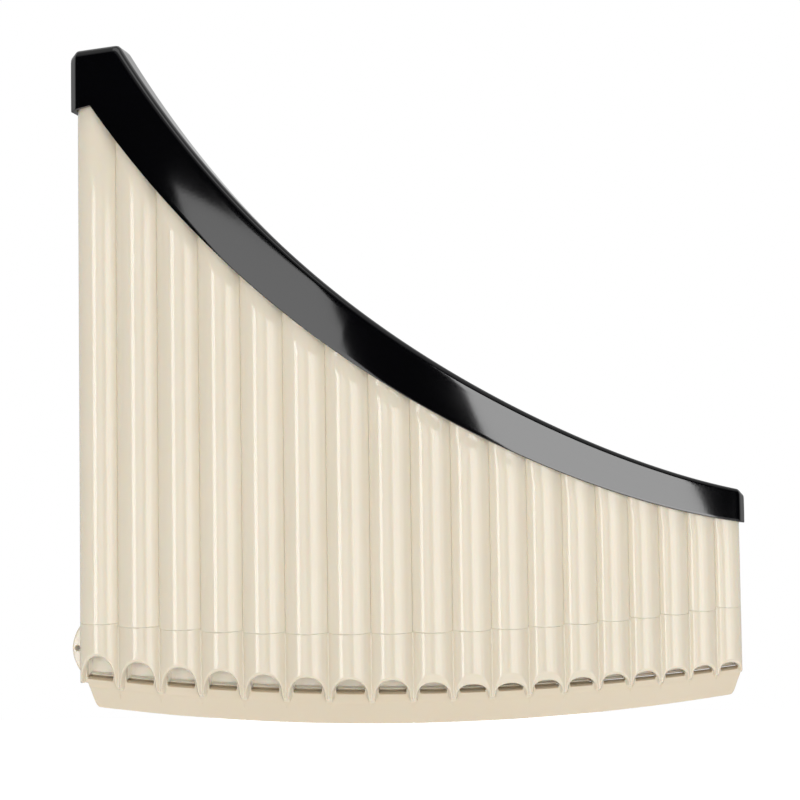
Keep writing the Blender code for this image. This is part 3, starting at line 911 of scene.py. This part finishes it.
def moulded_plastic(name, low, high, gloss, bump, ior=1.5, painted_shade_strength=0.0, depth=0.0):
    """Moulded plastic: slow shifts of colour and gloss, and a very fine unevenness."""
    made, nodes, links, shader = new_material(name)
    place = nodes.new("ShaderNodeTexCoord")
    slow = noise(nodes, links, place, *TONE_NOISE)
    colour = ramp(nodes, links, slow.outputs["Fac"], low, high)
    tone = colour.outputs["Color"]
    patches = noise(nodes, links, place, *GLOSS_NOISE)
    rough = spread(nodes, links, patches.outputs["Fac"], GLOSS_STRETCH, *gloss).outputs["Result"]
    # Painted shade and painted light from the mesh's marks.
    if painted_shade_strength:
        tone, rough = painted_shade_and_light_look(nodes, links, tone, rough, painted_shade_strength)
    links.new(tone, shader.inputs["Base Color"])
    links.new(rough, shader.inputs["Roughness"])
    strength, scale = bump
    fine = noise(nodes, links, place, scale, BUMP_DETAIL)
    uneven = nodes.new("ShaderNodeBump")
    uneven.inputs["Strength"].default_value = strength
    uneven.inputs["Distance"].default_value = BUMP_DISTANCE
    links.new(fine.outputs["Fac"], uneven.inputs["Height"])
    links.new(uneven.outputs["Normal"], shader.inputs["Normal"])
    shader.inputs["IOR"].default_value = ior
    shader.inputs["Subsurface Weight"].default_value = depth
    shader.inputs["Subsurface Radius"].default_value = INNER_RADIUS
    shader.inputs["Subsurface Scale"].default_value = INNER_SCALE
    return made


def share_of(nodes, links, source, factor):
    """A value times a factor, kept between 0 and 1."""
    made = nodes.new("ShaderNodeMath")
    made.operation = "MULTIPLY"
    made.use_clamp = True
    made.inputs[1].default_value = factor
    links.new(source, made.inputs[0])
    return made.outputs["Value"]


def mixed(nodes, links, tone, share, colour):
    mix = nodes.new("ShaderNodeMix")
    mix.data_type = "RGBA"
    first, second = [socket for socket in mix.inputs if socket.type == "RGBA"]
    links.new(share, mix.inputs["Factor"])
    links.new(tone, first)
    second.default_value = colour
    return next(socket for socket in mix.outputs if socket.type == "RGBA")


def painted_shade_and_light_look(nodes, links, tone, rough, painted_shade_strength):
    """Painted shade, warmer and duller, where the mesh's mark is above 0; painted light, paler and duller,
    where it is below 0.
    """
    marks = nodes.new("ShaderNodeAttribute")
    marks.attribute_name = "painted_shade_and_light"
    amount = share_of(nodes, links, marks.outputs["Fac"], painted_shade_strength)
    tone = mixed(nodes, links, tone, amount, PAINTED_SHADE_COLOUR)
    tone = mixed(nodes, links, tone, share_of(nodes, links, marks.outputs["Fac"], -1.0), PAINTED_LIGHT_COLOUR)
    inner = share_of(nodes, links, marks.outputs["Fac"], -INNER_DULLNESS)
    for part in (amount, inner):
        dull = nodes.new("ShaderNodeMath")
        dull.operation = "ADD"
        links.new(rough, dull.inputs[0])
        links.new(part, dull.inputs[1])
        rough = dull.outputs["Value"]
    return tone, rough


def ivory_plastic():
    low, high = (0.762, 0.69, 0.56, 1), (0.782, 0.71, 0.58, 1)
    return moulded_plastic("ivory_plastic", low, high, (0.06, 0.085), (0.05, 900.0), depth=0.35)


def mouthpiece_ivory():
    """The ivory of the mouthpiece, which is a little duller and carries painted shade and painted light."""
    low, high = (0.745, 0.673, 0.543, 1), (0.765, 0.693, 0.563, 1)
    return moulded_plastic(
        "mouthpiece_ivory", low, high, (0.08, 0.11), (0.05, 900.0), painted_shade_strength=0.2, depth=0.35
    )


def gloss_black():
    low, high = (0.0005, 0.0005, 0.001, 1), (0.001, 0.001, 0.002, 1)
    return moulded_plastic("gloss_black", low, high, (0.06, 0.08), (0.02, 700.0), ior=1.92)


def plug_plastic():
    low, high = (0.36, 0.26, 0.16, 1), (0.48, 0.35, 0.22, 1)
    return moulded_plastic("plug_plastic", low, high, (0.6, 0.8), (0.4, 500.0))


def give(made, finish):
    made.data.materials.append(finish)
    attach(made, "root")
    return made


def finish_pieces():
    """Makes every piece with its finish and hands back the rail."""
    ivory, mouth, black, dull = ivory_plastic(), mouthpiece_ivory(), gloss_black(), plug_plastic()
    for i in range(PIPE_COUNT):
        give(add_pipe(i), ivory)
    give(add_mouthpiece(), mouth)
    give(add_windway_plate(), mouth)
    rail = give(add_rail(), black)
    for i in range(PIPE_COUNT):
        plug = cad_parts[f"tuning_plug_{i + 1:02d}"]
        for slot in plug.material_slots:
            slot.material = dull
    return rail


# ---- studio --------------------------------------------------------------------------------------

# The camera: the place on the flute that it looks at, as (S, D, Z), its turns in degrees, and its
# focal length as a share of the picture's width.
AIM = np.array([-2.94, 0.0, 128.44])
DISTANCE = 750.0
PITCH = 3.1
ROLL = 0.8
FOCAL_SHARE = 2.34375
SENSOR_WIDTH = 36.0
CLIP_START = 0.05
CLIP_END = 50.0

# Lamp panels and floor, in metres and degrees.
LAMP_AIM = (0.0, 0.0, 0.12)
BOX_ELEVATION = -1.8
BOX_DISTANCE = 1.6
BOX_HEIGHT = 0.81
FLOOR_LEVEL = -0.45
FLOOR_HALF = 4.0
FLOOR_BOUNCE = 0.55

# The world's brightness for mirrored rays, and for the diffuse ones (FILL_LEVEL); the two spans say
# where along the world's Y and Z the brightness rises.
ROOM_LEVEL = 0.01
CEILING_LEVEL = 0.3
BACKDROP_LEVEL = 0.7
FILL_LEVEL = 0.35
BACKDROP_SPAN = (-0.35, 0.35)
CEILING_SPAN = (0.3, 0.8)


def add_camera():
    """Stands in front of the flute, a little below its middle and looking slightly up."""
    data = bpy.data.cameras.new("camera")
    data.sensor_width = SENSOR_WIDTH
    data.lens = SENSOR_WIDTH * FOCAL_SHARE
    camera = linked("camera", data)
    aim = Vector(in_frame(bent(*AIM)))
    pitch = math.radians(PITCH)
    ahead = Vector((0.0, math.cos(pitch), math.sin(pitch)))
    camera.location = aim - ahead * DISTANCE * MM
    turn = ahead.to_track_quat("-Z", "Y").to_matrix().to_4x4()
    roll = Matrix.Rotation(math.radians(-ROLL), 4, "Z")
    camera.rotation_euler = (turn @ roll).to_euler()
    data.clip_start = CLIP_START
    data.clip_end = CLIP_END
    bpy.context.scene.camera = camera


def soft_box(name, azimuth, elevation, distance, width, height, radiance):
    """A lamp panel facing the flute's middle; azimuth 0 is in front, positive to the right."""
    light = bpy.data.lights.new(name, "AREA")
    light.shape = "RECTANGLE"
    light.size, light.size_y = width, height
    light.energy = radiance * math.pi * width * height
    made = linked(name, light)
    a, e = math.radians(azimuth), math.radians(elevation)
    away = Vector((math.sin(a) * math.cos(e), -math.cos(a) * math.cos(e), math.sin(e)))
    made.location = Vector(LAMP_AIM) + away * distance
    made.rotation_euler = away.to_track_quat("Z", "Y").to_euler()
    return made


def front_box(name, azimuth, width, radiance):
    """A tall lamp panel in front of the flute, about level with its middle."""
    return soft_box(name, azimuth, BOX_ELEVATION, BOX_DISTANCE, width, BOX_HEIGHT, radiance)


def add_world():
    """White for the camera; for the flute a bright backdrop behind it and a dim room in front."""
    world = bpy.data.worlds.new("studio")
    bpy.context.scene.world = world
    world.use_nodes = True
    nodes, links = world.node_tree.nodes, world.node_tree.links
    nodes.clear()
    place = nodes.new("ShaderNodeTexCoord")
    axes = nodes.new("ShaderNodeSeparateXYZ")
    links.new(place.outputs["Generated"], axes.inputs["Vector"])
    behind = spread(nodes, links, axes.outputs["Y"], BACKDROP_SPAN, ROOM_LEVEL, BACKDROP_LEVEL)
    behind.interpolation_type = "SMOOTHSTEP"
    above = spread(nodes, links, axes.outputs["Z"], CEILING_SPAN, 0.0, CEILING_LEVEL)
    above.interpolation_type = "SMOOTHSTEP"
    brighter = nodes.new("ShaderNodeMath")
    brighter.operation = "MAXIMUM"
    links.new(behind.outputs["Result"], brighter.inputs[0])
    links.new(above.outputs["Result"], brighter.inputs[1])
    room = nodes.new("ShaderNodeBackground")
    links.new(brighter.outputs["Value"], room.inputs["Strength"])
    fill = nodes.new("ShaderNodeBackground")
    fill.inputs["Strength"].default_value = FILL_LEVEL
    white = nodes.new("ShaderNodeBackground")
    white.inputs["Strength"].default_value = 1.0
    for background in (room, fill, white):
        background.inputs["Color"].default_value = (1, 1, 1, 1)
    rays = nodes.new("ShaderNodeLightPath")
    soft = nodes.new("ShaderNodeMixShader")
    links.new(rays.outputs["Is Diffuse Ray"], soft.inputs["Fac"])
    links.new(room.outputs[0], soft.inputs[1])
    links.new(fill.outputs[0], soft.inputs[2])
    seen = nodes.new("ShaderNodeMixShader")
    links.new(rays.outputs["Is Camera Ray"], seen.inputs["Fac"])
    links.new(soft.outputs[0], seen.inputs[1])
    links.new(white.outputs[0], seen.inputs[2])
    out = nodes.new("ShaderNodeOutputWorld")
    links.new(seen.outputs[0], out.inputs["Surface"])


def add_floor():
    """A wide pale floor that glows white for the camera, less for diffuse light, and not in mirrors."""
    corners = [(x * FLOOR_HALF, y * FLOOR_HALF, 0) for x, y in ((-1, -1), (1, -1), (1, 1), (-1, 1))]
    mesh = bpy.data.meshes.new("floor")
    mesh.from_pydata(corners, [], [(0, 1, 2, 3)])
    floor = linked("floor", mesh)
    floor.location.z = FLOOR_LEVEL
    made, nodes, links, shader = new_material("pale_floor")
    shader.inputs["Base Color"].default_value = (0.8, 0.8, 0.8, 1)
    shader.inputs["Roughness"].default_value = 0.9
    shader.inputs["Specular IOR Level"].default_value = 0.0
    shader.inputs["Emission Color"].default_value = (1, 1, 1, 1)
    rays = nodes.new("ShaderNodeLightPath")
    bounce = share_of(nodes, links, rays.outputs["Is Diffuse Ray"], FLOOR_BOUNCE)
    level = nodes.new("ShaderNodeMath")
    level.operation = "MAXIMUM"
    links.new(rays.outputs["Is Camera Ray"], level.inputs[0])
    links.new(bounce, level.inputs[1])
    links.new(level.outputs["Value"], shader.inputs["Emission Strength"])
    mesh.materials.append(made)


def keep_off(lights, piece):
    """Makes lights shine on everything but one piece."""
    lit = bpy.data.collections.new("kept_off")
    lit.objects.link(piece)
    lit.collection_objects[0].light_linking.link_state = "EXCLUDE"
    for light in lights:
        light.light_linking.receiver_collection = lit


def add_studio(rail):
    """Camera, world, floor and five lamp panels; the outer two don't light the rail."""
    add_camera()
    add_world()
    add_floor()
    outer_boxes = [
        front_box("left_box", azimuth=-34.5, width=0.34, radiance=5.3),
        front_box("right_box", azimuth=43.2, width=0.49, radiance=1.4),
    ]
    keep_off(outer_boxes, rail)
    front_box("left_inner_box", azimuth=-16.5, width=0.55, radiance=1.33)
    front_box("right_inner_box", azimuth=21.8, width=0.74, radiance=3.2)
    soft_box("top_box", azimuth=0, elevation=62, distance=1.5, width=1.2, height=0.8, radiance=0.6)
    bpy.context.scene.view_settings.view_transform = "Standard"


add_studio(finish_pieces())
